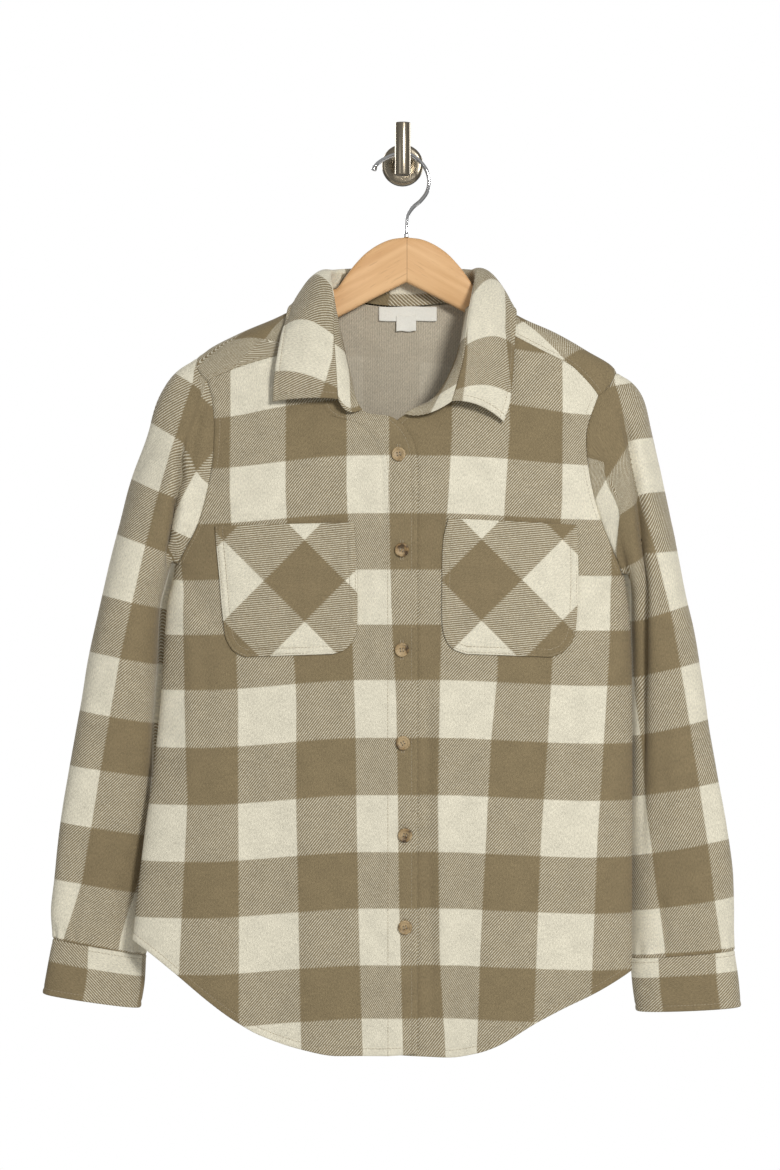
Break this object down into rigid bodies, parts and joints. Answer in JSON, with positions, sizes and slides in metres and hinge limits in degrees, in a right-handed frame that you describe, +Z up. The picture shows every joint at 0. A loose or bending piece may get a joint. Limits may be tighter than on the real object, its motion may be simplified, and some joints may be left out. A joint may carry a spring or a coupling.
{
  "type": "button-front shirt jacket on a wooden hanger and a wall hook",
  "caption": "Checked shirt jacket, buttoned up, with a turned-down collar, patch chest pockets, long cuffed sleeves and a dipped hem, hung by a wooden hanger from a round wall hook.",
  "frame": {"origin": "centre of the wall hook's back face, on the wall", "axes": "+X to the right as seen from the front, +Y into the wall, +Z up; the garment's front faces -Y"},
  "size_m": [0.6702, 0.0887, 0.887],
  "materials": {
    "flannel_check": "brushed twill in a taupe and cream block check",
    "label_cream": "woven, blank",
    "button_horn": "mottled brown horn effect",
    "hanger_beech": "clear satin lacquer",
    "hook_chrome": "polished",
    "wall_nickel": "brushed nickel plate"
  },
  "bodies": {
    "root": {"right_front": "flannel_check", "left_front": "flannel_check", "back": "flannel_check", "yoke": "flannel_check", "right_upper_sleeve": "flannel_check", "right_lower_sleeve": "flannel_check", "left_upper_sleeve": "flannel_check", "left_lower_sleeve": "flannel_check", "right_cuff": "flannel_check", "left_cuff": "flannel_check", "collar_stand": "flannel_check", "collar_leaf": "flannel_check", "right_pocket": "flannel_check", "left_pocket": "flannel_check", "button_1": "button_horn", "button_2": "button_horn", "button_3": "button_horn", "button_4": "button_horn", "button_5": "button_horn", "button_6": "button_horn", "neck_label": "label_cream", "size_tab": "label_cream", "hanger_wood": "hanger_beech", "hanger_hook": "hook_chrome", "hook_peg": "wall_nickel", "wall_rosette": "wall_nickel"}
  },
  "joints": []
}
